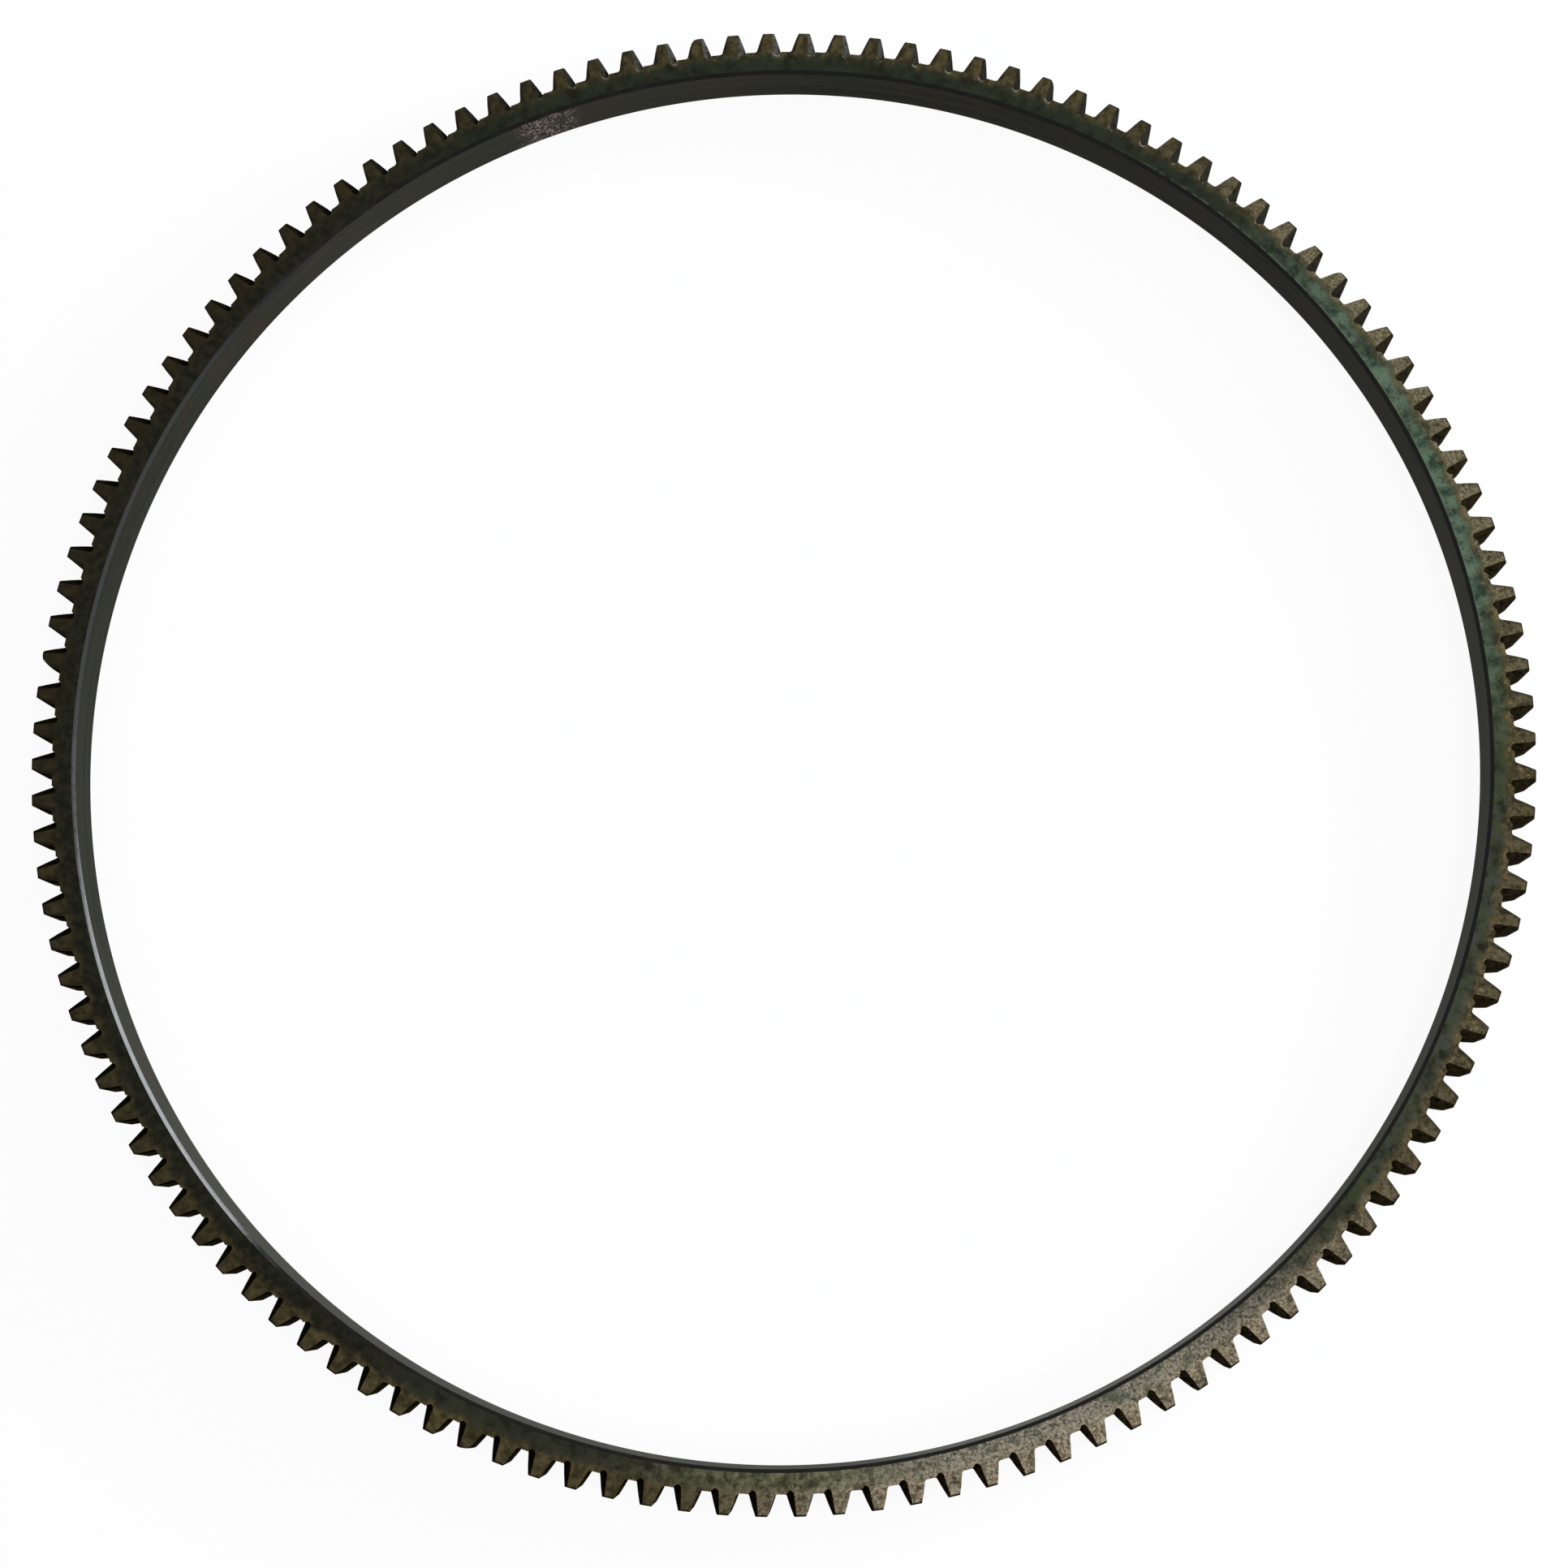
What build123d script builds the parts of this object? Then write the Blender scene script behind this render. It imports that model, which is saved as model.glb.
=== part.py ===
"""Flywheel ring gear for an engine starter: a flat steel ring with stub teeth outside and a
shrink-fit bore, lying on its rear face.

The real one is a bar rolled into a hoop, butt-welded and turned, with its teeth cut straight
through. A second cut from the front gives each tooth a lead-in, where the starter pinion slides
into mesh: a facet slopes from the front of the tooth down one flank, and ends below the root.
The front face is up (+Z). The origin is the centre of the rear face, and one tooth points to +Y.
"""
import os
from math import acos, cos, pi, radians, sin, tan

from build123d import *

# Stub teeth of 8/10 diametral pitch: the module is 1/8 in and the addendum 1/10 in
tooth_count = 127
module = 3.175
addendum = 2.54
pressure_angle = 20.0
dedendum_per_addendum = 1.25
root_corner = 0.45
tip_chamfer = 0.45

# Rim: 5/8 in wide, with 1/4 in of steel between the bore and the roots
face_width = 15.875
rim_wall = 6.35
bore_chamfer = 0.9

# Lead-in: how far along the ring its front edge eats into the tooth, and how steeply it falls
lead_in_at_tip = 0.8
lead_in_at_root = 2.2
lead_in_slope = 58.0
lead_in_below_root = 1.0
lead_in_corner = 0.6

# Cutters reach this far past the steel, which leaves no mark
overcut = addendum / 2

pitch_radius = tooth_count * module / 2
tip_radius = pitch_radius + addendum
root_radius = pitch_radius - dedendum_per_addendum * addendum
bore_radius = root_radius - rim_wall
base_radius = pitch_radius * cos(radians(pressure_angle))
tooth_places = [Rot(0, 0, -360 / tooth_count * i) for i in range(tooth_count)]


def involute(angle):
    """Involute function of an angle in radians."""
    return tan(angle) - angle


def half_tooth(radius):
    """Half the angle that a tooth takes up at a radius, in radians, between its involute flanks."""
    at_pitch_circle = pi / (2 * tooth_count)
    return at_pitch_circle + involute(radians(pressure_angle)) - involute(acos(base_radius / radius))


def on_circle(radius, angle):
    """Point at a radius and an angle in radians, clockwise from +Y as seen from the front."""
    return Vector(radius * sin(angle), radius * cos(angle))


def flank_point(radius, side):
    """Point on a flank of the tooth about +Y, with side -1 for the left flank and 1 for the right."""
    return on_circle(radius, side * half_tooth(radius))


def tooth_outline():
    """Edges of the tooth about +Y, from the middle of the gap on its left to the one on its right.
    Each root corner is one flat, as the corner of the cutter leaves it."""
    edges = [Line(flank_point(tip_radius, -1), flank_point(tip_radius, 1))]
    flank_foot = root_radius + root_corner
    corner_angle = half_tooth(root_radius) + root_corner / root_radius
    for side in (-1, 1):
        foot = flank_point(flank_foot, side)
        floor = on_circle(root_radius, side * corner_angle)
        edges.append(Spline(flank_point(tip_radius, side), flank_point(pitch_radius, side), foot))
        edges.append(Line(foot, floor))
        edges.append(Line(floor, on_circle(root_radius, side * pi / tooth_count)))
    return edges


def toothed_disc():
    """Solid disc with the teeth cut straight through."""
    outline = [place * edge for place in tooth_places for edge in tooth_outline()]
    return extrude(make_face(outline), face_width)


def bore():
    """Bore with a chamfer at each end, as the solid that is taken out."""
    section = Polyline(
        (0, 0, 0),
        (bore_radius + bore_chamfer, 0, 0),
        (bore_radius, 0, bore_chamfer),
        (bore_radius, 0, face_width - bore_chamfer),
        (bore_radius + bore_chamfer, 0, face_width),
        (0, 0, face_width),
        close=True,
    )
    return revolve(make_face(section), axis=Axis.Z)


def tip_chamfers():
    """Cuts that chamfer the tip of the tooth about +Y at the front and at the rear."""
    tip = flank_point(tip_radius, 1)
    section = Polyline(
        (tip.Y - tip_chamfer - overcut, face_width + overcut),
        (tip.Y + overcut, face_width - tip_chamfer - overcut),
        (tip.Y + overcut, face_width + overcut),
        close=True,
    )
    front = extrude(Plane.YZ * make_face(section), tip.X + overcut, both=True)
    return [front, mirror(front, Plane.XY.offset(face_width / 2))]


def lead_in():
    """Lead-in cut on the right flank of the tooth about +Y. Its facet falls from a line across the
    front of the tooth, and an upright wall below the root ends it and runs out in the gap."""
    tip_line = flank_point(tip_radius, 1) - Vector(lead_in_at_tip, 0)
    root_line = flank_point(root_radius, 1) - Vector(lead_in_at_root, 0)
    along = (tip_line - root_line).normalized()
    across = Vector(along.Y, -along.X)
    down = across * cos(radians(lead_in_slope)) - Vector(0, 0, sin(radians(lead_in_slope)))
    front = Vector(0, 0, face_width)
    facet = Plane(origin=root_line + front, x_dir=down, z_dir=down.cross(along))

    inner = root_line - along * lead_in_below_root
    outer = tip_line + along * overcut
    gap_middle = on_circle(root_radius, pi / tooth_count).X
    outline = Polyline(
        inner + along * lead_in_corner - across * overcut,
        outer - across * overcut,
        (gap_middle, outer.Y),
        (gap_middle, root_radius),
        inner + across * lead_in_corner,
        inner + along * lead_in_corner,
        close=True,
    )
    block = extrude(Pos(0, 0, face_width + overcut) * make_face(outline), -face_width)
    return split(block, bisect_by=facet, keep=Keep.TOP)


def ring_gear():
    """The whole ring, with the lead-in and the tip chamfers of every tooth."""
    cuts = [lead_in(), *tip_chamfers()]
    return toothed_disc() - bore() - [place * cut for place in tooth_places for cut in cuts]


ring = ring_gear()
os.makedirs("parts", exist_ok=True)
export_step(ring, "parts/ring_gear.step")
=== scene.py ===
"""Starter ring gear off a flywheel, on its rear face, with one tooth pointing straight back."""

import math

import bmesh
import bpy
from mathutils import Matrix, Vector


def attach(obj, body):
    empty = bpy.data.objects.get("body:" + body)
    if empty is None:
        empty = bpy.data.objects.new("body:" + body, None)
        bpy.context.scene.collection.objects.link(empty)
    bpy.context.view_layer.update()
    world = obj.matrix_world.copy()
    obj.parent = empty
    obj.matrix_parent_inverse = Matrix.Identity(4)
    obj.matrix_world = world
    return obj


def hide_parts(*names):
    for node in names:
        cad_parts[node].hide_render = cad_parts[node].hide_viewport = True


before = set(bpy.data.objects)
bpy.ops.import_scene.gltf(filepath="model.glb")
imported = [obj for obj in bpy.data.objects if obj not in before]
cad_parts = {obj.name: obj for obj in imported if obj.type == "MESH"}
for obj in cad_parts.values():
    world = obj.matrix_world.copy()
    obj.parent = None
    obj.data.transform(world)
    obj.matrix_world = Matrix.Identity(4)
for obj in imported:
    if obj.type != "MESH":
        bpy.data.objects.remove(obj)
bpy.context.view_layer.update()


# The camera looks down on the ring from 0.76 m, a little in front of its middle and to the
# right of it, so that the bore wall shows most at the back.
bpy.ops.object.camera_add(
    location=(0.03698, -0.13702, 0.76134),
    rotation=(math.radians(9.521), math.radians(2.727), math.radians(-0.479)),
)
camera = bpy.context.object
camera.data.sensor_width = 36
camera.data.lens = 64.25
bpy.context.scene.camera = camera


# The ring gear is one piece of steel: flat bar bent round and butt-welded, turned to size, then
# given stub teeth by a hob. It is shrunk on a flywheel, so its bore is plain.
# One tooth's length of the blank is made first: the section of the rim, spun through one pitch.
tooth_count = 127
one_tooth = 2 * math.pi / tooth_count
bore_radius = 0.1920875
root_radius = 0.1984375
pitch_radius = 0.2016125
tip_height = 0.2041465
thickness = 0.015875
bore_chamfer = 0.0009
rim_strips = 7
slack = 0.0001
weld_distance = 0.00001


def choose(kind, test):
    """Selects what has its middle where the test says, on the mesh that is being edited."""
    bpy.ops.mesh.select_mode(type=kind)
    bpy.ops.mesh.select_all(action="DESELECT")
    mesh = bmesh.from_edit_mesh(bpy.context.object.data)
    for item in {"VERT": mesh.verts, "EDGE": mesh.edges, "FACE": mesh.faces}[kind]:
        if kind == "VERT":
            middle = item.co.copy()
        elif kind == "EDGE":
            middle = (item.verts[0].co + item.verts[1].co) / 2
        else:
            middle = item.calc_center_median()
        if test(middle, item):
            item.select_set(True)
    mesh.select_flush_mode()
    bmesh.update_edit_mesh(bpy.context.object.data)


def runs_along(edge, axis):
    """True for an edge that runs along the X, Y or Z axis, within a few degrees."""
    way = edge.verts[1].co - edge.verts[0].co
    return abs(way.normalized()[axis]) > 0.97


bpy.ops.object.select_all(action="DESELECT")
bpy.ops.mesh.primitive_plane_add(size=1)
ring = bpy.context.object
ring.name = "ring_gear_steel"
bpy.ops.object.mode_set(mode="EDIT")
bpy.ops.mesh.select_all(action="SELECT")
bpy.ops.transform.resize(value=(root_radius - bore_radius, thickness, 1))
bpy.ops.transform.rotate(value=math.radians(90), orient_axis="X", center_override=(0, 0, 0))
bpy.ops.transform.rotate(value=math.radians(90), orient_axis="Z", center_override=(0, 0, 0))
bpy.ops.transform.translate(value=(0, (root_radius + bore_radius) / 2, thickness / 2))
choose("VERT", lambda at, corner: at.y < bore_radius + 0.001)
bpy.ops.mesh.bevel(offset=bore_chamfer, affect="VERTICES")
bpy.ops.mesh.select_all(action="SELECT")
bpy.ops.mesh.spin(steps=rim_strips, angle=one_tooth, center=(0, 0, 0), axis=(0, 0, -1))
bpy.ops.mesh.select_all(action="SELECT")
bpy.ops.mesh.remove_doubles(threshold=weld_distance)
leans_right = sum(corner.co.x for corner in bmesh.from_edit_mesh(ring.data).verts) > 0
bpy.ops.transform.rotate(
    value=-one_tooth / 2 if leans_right else one_tooth / 2,
    orient_axis="Z",
    center_override=(0, 0, 0),
)
bpy.ops.mesh.normals_make_consistent(inside=False)

# The tooth stands on the middle five of the seven strips. It narrows a little faster above the
# pitch circle than below it, its root corners are rounded and its tip is turned off at both faces.
half_at_root = root_radius * math.sin(2.5 / rim_strips * one_tooth)
half_at_pitch = 0.002495
half_at_tip = 0.00155
root_corner = 0.00055
tip_chamfer = 0.00045
choose(
    "FACE",
    lambda at, face: at.to_2d().length > root_radius - slack
    and abs(at.x) < half_at_root - 3 * slack,
)
bpy.ops.mesh.extrude_region_move(
    TRANSFORM_OT_translate={"value": (0, pitch_radius - root_radius, 0)}
)
bpy.ops.transform.resize(value=(half_at_pitch / half_at_root, 1, 1), center_override=(0, 0, 0))
bpy.ops.mesh.extrude_region_move(
    TRANSFORM_OT_translate={"value": (0, tip_height - pitch_radius, 0)}
)
bpy.ops.transform.resize(value=(half_at_tip / half_at_pitch, 1, 1), center_override=(0, 0, 0))
bpy.ops.transform.resize(value=(1, 0, 1), center_override=(0, tip_height, 0))
choose(
    "EDGE",
    lambda at, edge: runs_along(edge, 2)
    and abs(abs(at.x) - half_at_root) < slack
    and at.y > root_radius - 2 * slack,
)
bpy.ops.mesh.bevel(offset=root_corner, segments=3, affect="EDGES")
choose(
    "EDGE",
    lambda at, edge: runs_along(edge, 0)
    and at.y > tip_height - slack
    and abs(abs(at.z - thickness / 2) - thickness / 2) < slack,
)
bpy.ops.mesh.bevel(offset=tip_chamfer, segments=1, affect="EDGES")
bpy.ops.mesh.select_all(action="SELECT")
bpy.ops.mesh.dissolve_limited(angle_limit=math.radians(0.2))
bpy.ops.object.mode_set(mode="OBJECT")

# The lead-in is a sloping, nearly radial facet milled on the flank that meets the starter's pinion,
# and it ends in a round pocket just under the root. The cutter is a round bar, drawn out past the
# tip, pulled out a little where it leaves the pocket for the gap, and cut off at the facet's slope.
lead_in_at_tip = 0.00075
lead_in_at_root = 0.0013
lead_in_slope = math.radians(45)
lead_in_below_root = 0.0010
cutter_radius = 0.00115
cutter_length = 0.02
cutter_reach = 0.012
lean = math.atan2(lead_in_at_root - lead_in_at_tip, tip_height - root_radius)
pocket = Vector(
    (
        lead_in_at_root + cutter_radius / math.cos(lean),
        root_radius - lead_in_below_root + cutter_radius,
        thickness,
    )
)
facet_normal = Vector(
    (
        math.cos(lean) * math.sin(lead_in_slope),
        math.sin(lean) * math.sin(lead_in_slope),
        math.cos(lead_in_slope),
    )
)
bpy.ops.object.select_all(action="DESELECT")
bpy.ops.mesh.primitive_cylinder_add(
    vertices=14, radius=cutter_radius, depth=cutter_length, location=pocket
)
cutter = bpy.context.object
bpy.ops.object.transform_apply(location=True, rotation=True, scale=True)
bpy.ops.object.mode_set(mode="EDIT")
choose("VERT", lambda at, corner: at.y > pocket.y + slack)
bpy.ops.transform.translate(value=(-cutter_reach * math.tan(lean), cutter_reach, 0))
for beside, above, pull in (
    (0.0003, 0, (0.0001, 0.0004, 0)),
    (0.0009, 0.0004, (0.0002, 0.0002, 0)),
):
    choose("VERT", lambda at, corner: at.x > pocket.x + beside and at.y < pocket.y + above)
    bpy.ops.transform.translate(value=pull)
bpy.ops.mesh.select_all(action="SELECT")
bpy.ops.mesh.bisect(
    plane_co=(lead_in_at_root, root_radius, thickness),
    plane_no=facet_normal,
    use_fill=True,
    clear_inner=True,
)
bpy.ops.mesh.select_all(action="SELECT")
bpy.ops.mesh.normals_make_consistent(inside=False)
bpy.ops.object.mode_set(mode="OBJECT")
bpy.ops.object.select_all(action="DESELECT")
ring.select_set(True)
bpy.context.view_layer.objects.active = ring
milling = ring.modifiers.new("milling", "BOOLEAN")
milling.operation = "DIFFERENCE"
milling.solver = "EXACT"
milling.object = cutter
bpy.ops.object.modifier_apply(modifier=milling.name)
bpy.data.objects.remove(cutter)

# The finished tooth is copied round the ring. Its two end walls come off first, so that the
# copies join into one closed skin.
bpy.ops.object.mode_set(mode="EDIT")
choose(
    "FACE",
    lambda at, face: abs(abs(math.atan2(at.x, at.y)) - one_tooth / 2) < one_tooth / 1000,
)
bpy.ops.mesh.delete(type="FACE")
bpy.ops.object.mode_set(mode="OBJECT")
bpy.ops.object.empty_add(rotation=(0, 0, one_tooth))
turn = bpy.context.object
bpy.ops.object.select_all(action="DESELECT")
ring.select_set(True)
bpy.context.view_layer.objects.active = ring
teeth = ring.modifiers.new("teeth", "ARRAY")
teeth.count = tooth_count
teeth.use_relative_offset = False
teeth.use_object_offset = True
teeth.offset_object = turn
teeth.use_merge_vertices = True
teeth.use_merge_vertices_cap = True
teeth.merge_threshold = weld_distance
bpy.ops.object.modifier_apply(modifier=teeth.name)
bpy.data.objects.remove(turn)

# Seven teeth have a shoulder that the pinion has rounded over, most at the front face. Each is
# filed off in three strokes of a flat block, from a place on the tip to one down the flank. The
# side is 1 for clockwise, as seen from the front.
worn_shoulders = (
    (-2, -1, 0.0014, 0.0030),
    (6, 1, 0.0007, 0.0006),
    (8, 1, 0.0013, 0.0024),
    (18, -1, 0.0011, 0.0022),
    (49, 1, 0.0007, 0.0007),
    (72, -1, 0.0022, 0.0036),
    (98, -1, 0.0019, 0.0036),
    (98, 1, 0.0007, 0.0009),
)
block_width = 0.004
block_tilt = math.radians(4)
flank_lean = math.atan2(half_at_pitch - half_at_tip, tip_height - pitch_radius)
blocks = []
for number, side, along_tip, down_flank in worn_shoulders:
    outward = Vector((math.sin(number * one_tooth), math.cos(number * one_tooth), 0))
    across = Vector((outward.y, -outward.x, 0)) * side
    shoulder = outward * tip_height + across * half_at_tip
    on_tip = shoulder - across * along_tip
    down = across * math.sin(flank_lean) - outward * math.cos(flank_lean)
    on_flank = shoulder + down * down_flank
    arc = [
        on_tip * (1 - part) ** 2 + shoulder * 2 * part * (1 - part) + on_flank * part**2
        for part in (0, 1 / 3, 2 / 3, 1)
    ]
    for start, end in zip(arc, arc[1:]):
        stroke = (end - start).normalized()
        away = Vector((-stroke.y, stroke.x, 0)) * side
        bpy.ops.mesh.primitive_cube_add(
            size=block_width,
            location=(start + end) / 2 + away * block_width / 2 + Vector((0, 0, thickness)),
            rotation=(block_tilt, 0, math.atan2(-away.x, away.y)),
            scale=(1, 1, 10),
        )
        blocks.append(bpy.context.object)
bpy.ops.object.select_all(action="DESELECT")
for block in blocks:
    block.select_set(True)
bpy.context.view_layer.objects.active = blocks[0]
bpy.ops.object.join()
strokes = bpy.context.object
bpy.ops.object.select_all(action="DESELECT")
ring.select_set(True)
bpy.context.view_layer.objects.active = ring
filing = ring.modifiers.new("filing", "BOOLEAN")
filing.operation = "DIFFERENCE"
filing.solver = "EXACT"
filing.use_self = True
filing.object = strokes
bpy.ops.object.modifier_apply(modifier=filing.name)
bpy.data.objects.remove(strokes)
bpy.ops.object.mode_set(mode="EDIT")
bpy.ops.mesh.select_all(action="SELECT")
bpy.ops.mesh.remove_doubles(threshold=weld_distance)
bpy.ops.mesh.normals_make_consistent(inside=False)
bpy.ops.object.mode_set(mode="OBJECT")

# Handling and rust have taken the sharpness off every edge.
broken = ring.modifiers.new("broken_edges", "BEVEL")
broken.width = 0.00016
broken.segments = 1
broken.limit_method = "ANGLE"
broken.angle_limit = math.radians(38)
bpy.ops.object.modifier_apply(modifier=broken.name)
bpy.ops.object.shade_smooth_by_angle(angle=math.radians(34))
flats = ring.modifiers.new("flats_stay_flat", "WEIGHTED_NORMAL")
flats.keep_sharp = True
bpy.ops.object.modifier_apply(modifier=flats.name)
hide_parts("ring_gear")
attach(ring, "root")

# The finish of the faces and teeth. The rim is browned and oily, with green primer rubbed thin
# over it, and a scuffed stretch at the front right. Hardening has tinted the teeth brown down
# to a little under their roots.
steel = bpy.data.materials.new("browned_steel")
steel.use_nodes = True
nodes = steel.node_tree.nodes
links = steel.node_tree.links


def add_node(kind, **settings):
    """A node of the material that is being made."""
    made = nodes.new("ShaderNode" + kind)
    for name, value in settings.items():
        setattr(made, name, value)
    return made


def feed(socket, value):
    """Puts a number, a colour or another node's output into a socket."""
    if isinstance(value, bpy.types.NodeSocket):
        links.new(value, socket)
    else:
        socket.default_value = value


def sum_up(operation, first, second=0.0, third=0.0):
    """The result of a Math node on up to three numbers or outputs."""
    made = add_node("Math", operation=operation)
    for socket, value in zip(made.inputs, (first, second, third)):
        feed(socket, value)
    return made.outputs[0]


def rise(value, start, end):
    """0 up to start, 1 from end on, and a soft step between them. It falls where end is less."""
    made = add_node("MapRange", interpolation_type="SMOOTHSTEP")
    feed(made.inputs["Value"], value)
    feed(made.inputs["From Min"], start)
    feed(made.inputs["From Max"], end)
    return made.outputs["Result"]


def grain(size, detail=2.0, roughness=0.5, where=None):
    """Noise between 0 and 1 whose lumps are about so many metres across."""
    made = add_node("TexNoise")
    feed(made.inputs["Vector"], where or place)
    feed(made.inputs["Scale"], 1 / size)
    feed(made.inputs["Detail"], detail)
    feed(made.inputs["Roughness"], roughness)
    return made.outputs["Fac"]


def cover(under, over, amount):
    """One colour laid over another by an amount between 0 and 1."""
    made = add_node("Mix", data_type="RGBA")
    feed(made.inputs["Factor"], amount)
    feed(made.inputs["A"], under)
    feed(made.inputs["B"], over)
    return made.outputs["Result"]


def times(*values):
    """Numbers or outputs multiplied together."""
    result = values[0]
    for value in values[1:]:
        result = sum_up("MULTIPLY", result, value)
    return result


def find_place():
    """The place on the ring, its three coordinates and its distance from the axis."""
    found = add_node("TexCoord").outputs["Object"]
    split = add_node("SeparateXYZ")
    feed(split.inputs[0], found)
    sides = split.outputs
    squared = sum_up("MULTIPLY_ADD", sides[0], sides[0], times(sides[1], sides[1]))
    return found, *sides, sum_up("SQRT", squared)


def towards(degrees, full, none):
    """1 within so many degrees of a bearing round the ring, and 0 beyond so many. Bearings run
    clockwise from the back, as seen from the front."""
    angle = math.radians(degrees)
    along = sum_up("MULTIPLY_ADD", x, math.sin(angle), times(y, math.cos(angle)))
    nearness = sum_up("DIVIDE", along, radius)
    return rise(nearness, math.cos(math.radians(none)), math.cos(math.radians(full)))


def roughen(height, strength, depth):
    """Bumps in the shader's surface, of so many metres."""
    relief = add_node("Bump")
    feed(relief.inputs["Height"], height)
    feed(relief.inputs["Strength"], strength)
    feed(relief.inputs["Distance"], depth)
    feed(shader.inputs["Normal"], relief.outputs["Normal"])


place, x, y, z, radius = find_place()
clouds = grain(0.010, 3)
blotches = grain(0.0042, 4, 0.62)
mottle = grain(0.0022, 4, 0.65)
specks = grain(0.0008, 3, 0.7)
pits = grain(0.0013, 3, 0.6)

# The rim, from the browned steel outwards: rust at the back left, primer rubbed thin at the back
# right, a pale rub at the front, aged primer on the right, and primer a little further back, made
# brighter there by a painted sheen, with a light line along its inner edge.
rim = cover((0.0065, 0.0068, 0.0040, 1), (0.0185, 0.0170, 0.0100, 1), rise(mottle, 0.35, 0.7))
rust = times(rise(blotches, 0.56, 0.68), towards(330, 25, 60))
rim = cover(rim, (0.022, 0.014, 0.006, 1), times(rust, 0.7))
rubbed_primer = times(towards(30, 38, 72), rise(blotches, 0.30, 0.62))
rim = cover(rim, (0.018, 0.026, 0.015, 1), times(rubbed_primer, 0.8))
pale_rub = times(towards(199, 6, 16), rise(blotches, 0.3, 0.6))
rim = cover(rim, (0.030, 0.032, 0.020, 1), times(pale_rub, 0.7))
aged_primer = cover((0.010, 0.013, 0.0045, 1), (0.043, 0.049, 0.021, 1), rise(blotches, 0.34, 0.62))
greyed = times(towards(112, 8, 25), rise(mottle, 0.4, 0.6))
aged_primer = cover(aged_primer, (0.042, 0.047, 0.037, 1), greyed)
rim = cover(rim, aged_primer, times(towards(104, 16, 42), rise(clouds, 0.2, 0.5), 0.9))
primer = cover((0.014, 0.030, 0.019, 1), (0.090, 0.136, 0.090, 1), rise(blotches, 0.34, 0.64))
primer = cover(primer, (0.014, 0.028, 0.022, 1), times(rise(mottle, 0.52, 0.62), 0.6))
primer = cover(primer, (0.105, 0.110, 0.078, 1), times(rise(pits, 0.5, 0.66), 0.5))
# The primer is brightest at the back right, which is partly a painted sheen.
rim = cover(rim, primer, times(towards(67, 4, 27), rise(clouds, 0.2, 0.5)))
inner_edge = times(rise(radius, bore_radius + 0.0016, bore_radius + 0.0012), rise(mottle, 0.4, 0.6))
rim = cover(rim, (0.100, 0.135, 0.080, 1), times(inner_edge, towards(58, 8, 32), 0.5))

# Over these comes the scuffed stretch, mossy at its left end, and light specks all round.
outer_half = rise(radius, bore_radius + 0.0015, root_radius - 0.0015)
scuffed = cover((0.046, 0.044, 0.030, 1), (0.29, 0.255, 0.195, 1), rise(specks, 0.36, 0.64))
scuffed = cover(scuffed, (0.36, 0.32, 0.25, 1), times(rise(pits, 0.44, 0.6), outer_half, 0.5))
scuffed = cover(scuffed, (0.21, 0.155, 0.13, 1), times(rise(pits, 0.56, 0.68), 0.5))
scuffed = cover(scuffed, (0.050, 0.062, 0.040, 1), times(rise(blotches, 0.50, 0.36), 0.7))
mossy = cover((0.034, 0.031, 0.012, 1), (0.138, 0.147, 0.080, 1), rise(mottle, 0.36, 0.62))
mossy = cover(mossy, (0.31, 0.31, 0.24, 1), times(rise(pits, 0.58, 0.68), 0.5))
mossy = cover(mossy, (0.020, 0.017, 0.007, 1), times(rise(blotches, 0.50, 0.38), 0.6))
scuffed = cover(scuffed, mossy, times(towards(189, 9, 23), 0.9))
rim = cover(rim, scuffed, times(towards(163, 7, 33), rise(clouds, 0.1, 0.45)))
rim = cover(rim, (0.12, 0.11, 0.085, 1), times(rise(specks, 0.71, 0.76), 0.5))

# The teeth, and the brown of their hardening, which dips lowest under the gaps.
bearing = sum_up("ARCTAN2", x, y)
tint_edge = sum_up(
    "ADD",
    sum_up("SUBTRACT", radius, root_radius),
    times(sum_up("COSINE", sum_up("MULTIPLY_ADD", bearing, tooth_count, 0.9)), -0.0005),
)
tint_edge = sum_up("ADD", tint_edge, times(sum_up("SUBTRACT", mottle, 0.5), 0.0024))
tint_edge = sum_up("ADD", tint_edge, times(towards(98, 10, 50), 0.0006))
tinted = rise(tint_edge, -0.0028, 0.0004)
tint = cover((0.0255, 0.0205, 0.0075, 1), (0.078, 0.061, 0.027, 1), rise(mottle, 0.34, 0.66))
bright = cover((0.052, 0.044, 0.022, 1), (0.230, 0.200, 0.125, 1), rise(specks, 0.34, 0.66))
tint = cover(tint, bright, times(towards(63, 6, 32), rise(tint_edge, -0.0012, 0.0006), 0.75))
tint = cover(tint, (0.100, 0.084, 0.050, 1), times(towards(113, 5, 22), rise(pits, 0.3, 0.6), 0.6))
scuffed = cover((0.085, 0.066, 0.038, 1), (0.39, 0.34, 0.245, 1), rise(specks, 0.34, 0.66))
scuffed = cover(scuffed, (0.052, 0.035, 0.016, 1), times(rise(mottle, 0.48, 0.38), 0.6))
scuffed = cover(scuffed, (0.24, 0.130, 0.065, 1), times(rise(pits, 0.54, 0.66), 0.5))
tint = cover(tint, scuffed, times(towards(156, 4, 34), 0.92))
# Painted shade: the teeth darken towards the left.
tint = cover(tint, (0.009, 0.0075, 0.0035, 1), times(towards(285, 20, 80), 0.8))
browner = times(towards(249, 4, 22), rise(mottle, 0.3, 0.6))
tint = cover(tint, (0.050, 0.040, 0.018, 1), times(browner, 0.5))
tint = cover(tint, (0.016, 0.013, 0.006, 1), times(rise(blotches, 0.46, 0.36), 0.6))
golden = times(rise(pits, 0.5, 0.68), rise(tint_edge, 0.0016, 0.0002))
tint = cover(tint, (0.130, 0.082, 0.026, 1), times(golden, 0.8, towards(98, 15, 60)))
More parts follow.
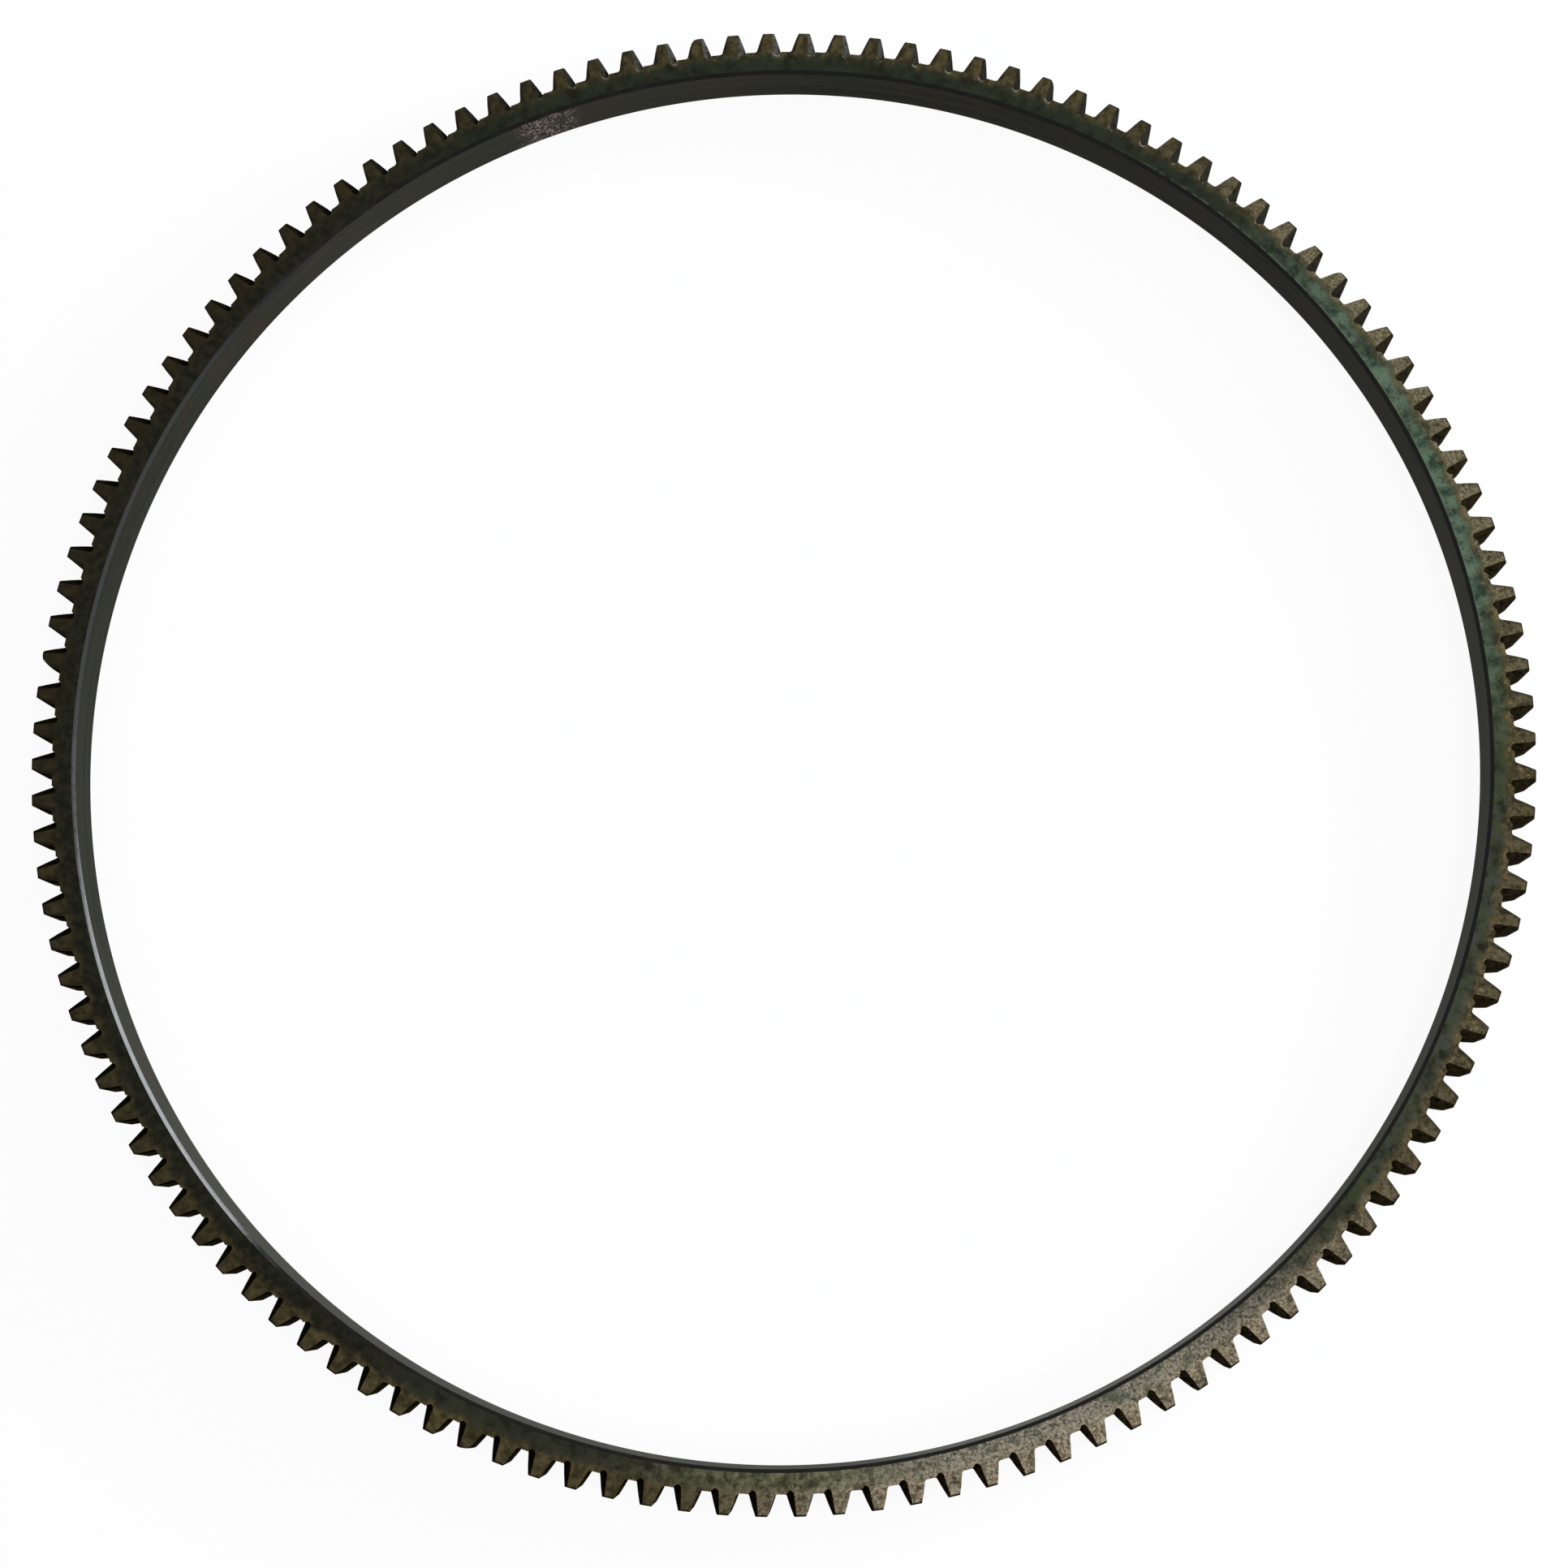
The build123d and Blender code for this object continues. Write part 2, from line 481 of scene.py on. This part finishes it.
flecked = times(towards(101, 10, 34), rise(tint_edge, -0.0012, 0.0002))
tint = cover(tint, (0.020, 0.014, 0.006, 1), times(flecked, rise(pits, 0.47, 0.36), 0.75))
tint = cover(tint, (0.200, 0.150, 0.065, 1), times(flecked, rise(pits, 0.60, 0.68), 0.7))
colour = cover(rim, tint, tinted)

# Painted shade along the anticlockwise edges of the teeth, and a painted highlight on the lip under
# each pocket at the back. Both are placed by the distance from the middle of the tooth.
across = times(radius, sum_up("WRAP", bearing, one_tooth / 2, -one_tooth / 2))
above_pitch = sum_up("SUBTRACT", radius, pitch_radius)
half_tooth = sum_up(
    "MINIMUM",
    sum_up("MULTIPLY_ADD", above_pitch, -0.08, half_at_pitch),
    sum_up("MULTIPLY_ADD", above_pitch, -0.37, half_at_pitch),
)
from_edge = sum_up("ADD", across, half_tooth)
painted_edge_shade = times(rise(from_edge, 0.0009, 0.0002), rise(above_pitch, -0.0036, -0.0026))
# Painted shade: the edges darken at the back left and on the right.
colour = cover(colour, (0.0050, 0.0042, 0.0020, 1), times(painted_edge_shade, towards(315, 45, 85), 0.8))
colour = cover(colour, (0.0120, 0.0090, 0.0045, 1), times(painted_edge_shade, towards(100, 14, 40), 0.55))
from_pocket = sum_up(
    "POWER",
    sum_up(
        "ADD",
        sum_up("POWER", sum_up("SUBTRACT", across, pocket.x), 2.0),
        sum_up("POWER", sum_up("SUBTRACT", radius, pocket.y), 2.0),
    ),
    0.5,
)
# Painted highlight: a pale crescent round each pocket's lip, only at the back.
pocket_lip_highlight = rise(from_pocket, cutter_radius + 0.0006, cutter_radius + 0.0002)
pocket_lip_highlight = times(pocket_lip_highlight, rise(mottle, 0.42, 0.56))
pocket_lip_highlight = times(pocket_lip_highlight, rise(across, pocket.x + 0.0008, pocket.x + 0.0002))
pocket_lip_highlight = times(pocket_lip_highlight, rise(radius, root_radius, root_radius - 0.0006), towards(16, 10, 42))
colour = cover(colour, (0.17, 0.165, 0.14, 1), pocket_lip_highlight)

shader = nodes["Principled BSDF"]
feed(shader.inputs["Base Color"], colour)
shader.inputs["Metallic"].default_value = 0.07
shader.inputs["Specular IOR Level"].default_value = 0.05
gloss = sum_up("MULTIPLY_ADD", mottle, 0.25, 0.45)
gloss = sum_up("ADD", gloss, times(towards(158, 10, 45), 0.1))
feed(shader.inputs["Roughness"], gloss)
roughen(sum_up("ADD", specks, times(mottle, 1.5)), 0.35, 0.00012)
ring.data.materials.append(steel)

# The lead-ins and flanks are dark with scale, and browner deeper in. Their near-black at the front
# is partly painted shade, the brown on the right and the grey at the back are painted light, and
# the paler grey right at the back is a painted highlight. The tips are rubbed to grey metal.
scale = bpy.data.materials.new("dark_scale_and_painted_light")
scale.use_nodes = True
nodes = scale.node_tree.nodes
links = scale.node_tree.links
place, x, y, z, radius = find_place()
mottle = grain(0.0015, 4, 0.65)
# The near-black base is partly painted shade.
flank = cover((0.0032, 0.0025, 0.0012, 1), (0.0084, 0.0068, 0.0035, 1), rise(mottle, 0.35, 0.7))
deeper = rise(z, thickness - 0.0035, thickness - 0.0065)
flank = cover(flank, (0.036, 0.029, 0.017, 1), times(deeper, rise(mottle, 0.3, 0.65)))
# Painted light: browner towards the right.
browner = times(towards(92, 58, 90), rise(mottle, 0.3, 0.65))
flank = cover(flank, (0.024, 0.0185, 0.0095, 1), browner)
# Painted light: greyer towards the back.
flank = cover(flank, (0.019, 0.0175, 0.0140, 1), times(towards(14, 20, 56), rise(mottle, 0.2, 0.6)))
# Painted highlight: paler grey right at the back.
flank = cover(flank, (0.058, 0.056, 0.049, 1), times(towards(-1, 1, 15), rise(mottle, 0.3, 0.6)))
tip = rise(radius, tip_height - 0.0004, tip_height - 0.0002)
tip = times(tip, rise(z, thickness - 0.0005, thickness - 0.0009))
scratches = grain(0.0009, 3, 0.7)
rubbed = cover((0.028, 0.022, 0.013, 1), (0.105, 0.092, 0.068, 1), rise(scratches, 0.40, 0.62))
flank = cover(flank, rubbed, tip)
shader = nodes["Principled BSDF"]
feed(shader.inputs["Base Color"], flank)
shader.inputs["Specular IOR Level"].default_value = 0.0
feed(shader.inputs["Roughness"], sum_up("MULTIPLY_ADD", mottle, 0.25, 0.6))
roughen(mottle, 0.3, 0.00012)
ring.data.materials.append(scale)

# The bore is turned to a fine finish, and greyer. The ground weld is a rough speckled patch at the
# back left. Painted light makes the bore lighter at the right, the back left and the front, darker
# at the left, and a painted reflection brightens it at the front right.
turned = bpy.data.materials.new("turned_bore")
turned.use_nodes = True
nodes = turned.node_tree.nodes
links = turned.node_tree.links
place, x, y, z, radius = find_place()
drawn_out = add_node("Mapping")
feed(drawn_out.inputs["Vector"], place)
feed(drawn_out.inputs["Scale"], (0.03, 0.03, 1))
tool_lines = grain(0.00022, 2, 0.6, drawn_out.outputs["Vector"])
broad_lines = grain(0.0016, 2, 0.5, drawn_out.outputs["Vector"])
stain = grain(0.009, 4, 0.6)
specks = grain(0.0008, 3, 0.7)
weld = times(towards(340.6, 1.0, 3.2), rise(stain, 0.3, 0.5))
bore = cover((0.011, 0.012, 0.008, 1), (0.0225, 0.0235, 0.0165, 1), rise(broad_lines, 0.3, 0.7))
bore = cover(bore, (0.025, 0.018, 0.011, 1), times(rise(stain, 0.46, 0.62), 0.5))
# Painted light: lighter at the right and the back left, darker at the left, lighter at the front.
bore = cover(bore, (0.034, 0.034, 0.027, 1), times(towards(100, 8, 32), 0.5))
bore = cover(bore, (0.036, 0.034, 0.027, 1), times(towards(338, 8, 30), 0.4))
bore = cover(bore, (0.012, 0.013, 0.010, 1), times(towards(277, 8, 32), 0.4))
bore = cover(bore, (0.047, 0.045, 0.037, 1), times(towards(181, 45, 80), 0.55))
# Painted reflection: a bright band at the front right.
bore = cover(bore, (0.115, 0.113, 0.098, 1), times(towards(151.5, 3, 25), 0.78))
welded = cover((0.022, 0.021, 0.016, 1), (0.26, 0.215, 0.185, 1), rise(specks, 0.46, 0.66))
bore = cover(bore, welded, weld)
shader = nodes["Principled BSDF"]
feed(shader.inputs["Base Color"], bore)
shader.inputs["Specular IOR Level"].default_value = 0.02
gloss = sum_up("ADD", sum_up("MULTIPLY_ADD", tool_lines, 0.2, 0.5), times(weld, 0.2))
feed(shader.inputs["Roughness"], gloss)
roughen(sum_up("ADD", times(tool_lines, 0.5), times(specks, weld, 3.0)), 0.3, 0.00008)
ring.data.materials.append(turned)

# The chamfers of the bore are bright-turned under a film of black oil, so they show as a dark
# line that glints where a lamp is low.
oiled = bpy.data.materials.new("oiled_chamfer")
oiled.use_nodes = True
nodes = oiled.node_tree.nodes
links = oiled.node_tree.links
place = add_node("TexCoord").outputs["Object"]
film = grain(0.004, 3, 0.6)
shader = nodes["Principled BSDF"]
black_oil = cover((0.0014, 0.0013, 0.0012, 1), (0.0050, 0.0044, 0.0034, 1), rise(film, 0.4, 0.7))
feed(shader.inputs["Base Color"], black_oil)
shader.inputs["Specular IOR Level"].default_value = 0.13
feed(shader.inputs["Roughness"], sum_up("MULTIPLY_ADD", film, 0.10, 0.07))
roughen(film, 0.1, 0.0001)
ring.data.materials.append(oiled)

# Each material goes to the faces at its distance from the axis that don't lie flat.
almost_flat = 0.95
bpy.ops.object.mode_set(mode="EDIT")
for slot, nearest, farthest in (
    (1, root_radius - 0.0025, tip_height + 0.001),
    (2, bore_radius - 0.001, bore_radius + slack),
    (3, bore_radius + slack, bore_radius + bore_chamfer + slack / 2),
):
    choose(
        "FACE",
        lambda at, face: nearest < at.to_2d().length < farthest
        and abs(face.normal.z) < almost_flat,
    )
    ring.active_material_index = slot
    bpy.ops.object.material_slot_assign()
bpy.ops.object.mode_set(mode="OBJECT")


# The floor is white paper, wide enough to fill every view. It shows white to the camera and in
# reflections, and takes a soft shadow under the ring.
floor_whiteness = 0.93


def white_rays():
    """1 for the rays of the camera, reflections and glass, and 0 for the light on things."""
    ray = add_node("LightPath")
    seen = sum_up("MAXIMUM", ray.outputs["Is Camera Ray"], ray.outputs["Is Glossy Ray"])
    return sum_up("MAXIMUM", seen, ray.outputs["Is Transmission Ray"])


bpy.ops.object.select_all(action="DESELECT")
bpy.ops.mesh.primitive_plane_add(size=30, location=(0, 0, -0.0001))
floor = bpy.context.object
floor.name = "floor"
paper = bpy.data.materials.new("white_paper")
paper.use_nodes = True
nodes = paper.node_tree.nodes
links = paper.node_tree.links
shader = nodes["Principled BSDF"]
shader.inputs["Base Color"].default_value = (0.9, 0.9, 0.9, 1)
shader.inputs["Roughness"].default_value = 0.9
shader.inputs["Specular IOR Level"].default_value = 0.0
white = add_node("Emission")
white.inputs["Strength"].default_value = 1.0
laid = add_node("MixShader")
feed(laid.inputs[0], times(white_rays(), floor_whiteness))
feed(laid.inputs[1], shader.outputs[0])
feed(laid.inputs[2], white.outputs[0])
feed(nodes["Material Output"].inputs["Surface"], laid.outputs[0])
floor.data.materials.append(paper)

# A big soft box on the right lights the ring, with the pale room. A narrow light low at the back
# right glints on the chamfer at the front left, and a dim low window gives it a long soft end.
neutral = (1, 1, 1)
bluish = (0.9, 0.95, 1.0)
for name, azimuth, height, distance, width, depth, power, tone in (
    ("soft_box", 100, 55, 2.2, 1.8, 1.8, 18, neutral),
    ("raking_light", 60, 14, 1.7, 1.4, 0.17, 33, bluish),
    ("low_window", 106, 19, 1.7, 1.9, 0.4, 10, bluish),
):
    turned_to = math.radians(azimuth)
    raised = math.radians(height)
    spot = distance * Vector(
        (
            math.sin(turned_to) * math.cos(raised),
            math.cos(turned_to) * math.cos(raised),
            math.sin(raised),
        )
    )
    aim = spot.to_track_quat("Z", "Y").to_euler()
    bpy.ops.object.light_add(type="AREA", location=spot, rotation=aim)
    lamp = bpy.context.object
    lamp.name = name
    lamp.data.shape = "RECTANGLE"
    lamp.data.size = width
    lamp.data.size_y = depth
    lamp.data.energy = power
    lamp.data.color = tone
room = bpy.data.worlds.new("pale_room")
room.use_nodes = True
nodes = room.node_tree.nodes
links = room.node_tree.links
nodes["Background"].inputs["Color"].default_value = (0.5, 0.5, 0.5, 1)
backdrop = add_node("Background")
backdrop.inputs["Color"].default_value = (1, 1, 1, 1)
laid = add_node("MixShader")
feed(laid.inputs[0], white_rays())
feed(laid.inputs[1], nodes["Background"].outputs[0])
feed(laid.inputs[2], backdrop.outputs[0])
feed(nodes["World Output"].inputs["Surface"], laid.outputs[0])
bpy.context.scene.world = room
bpy.context.scene.view_settings.view_transform = "Standard"
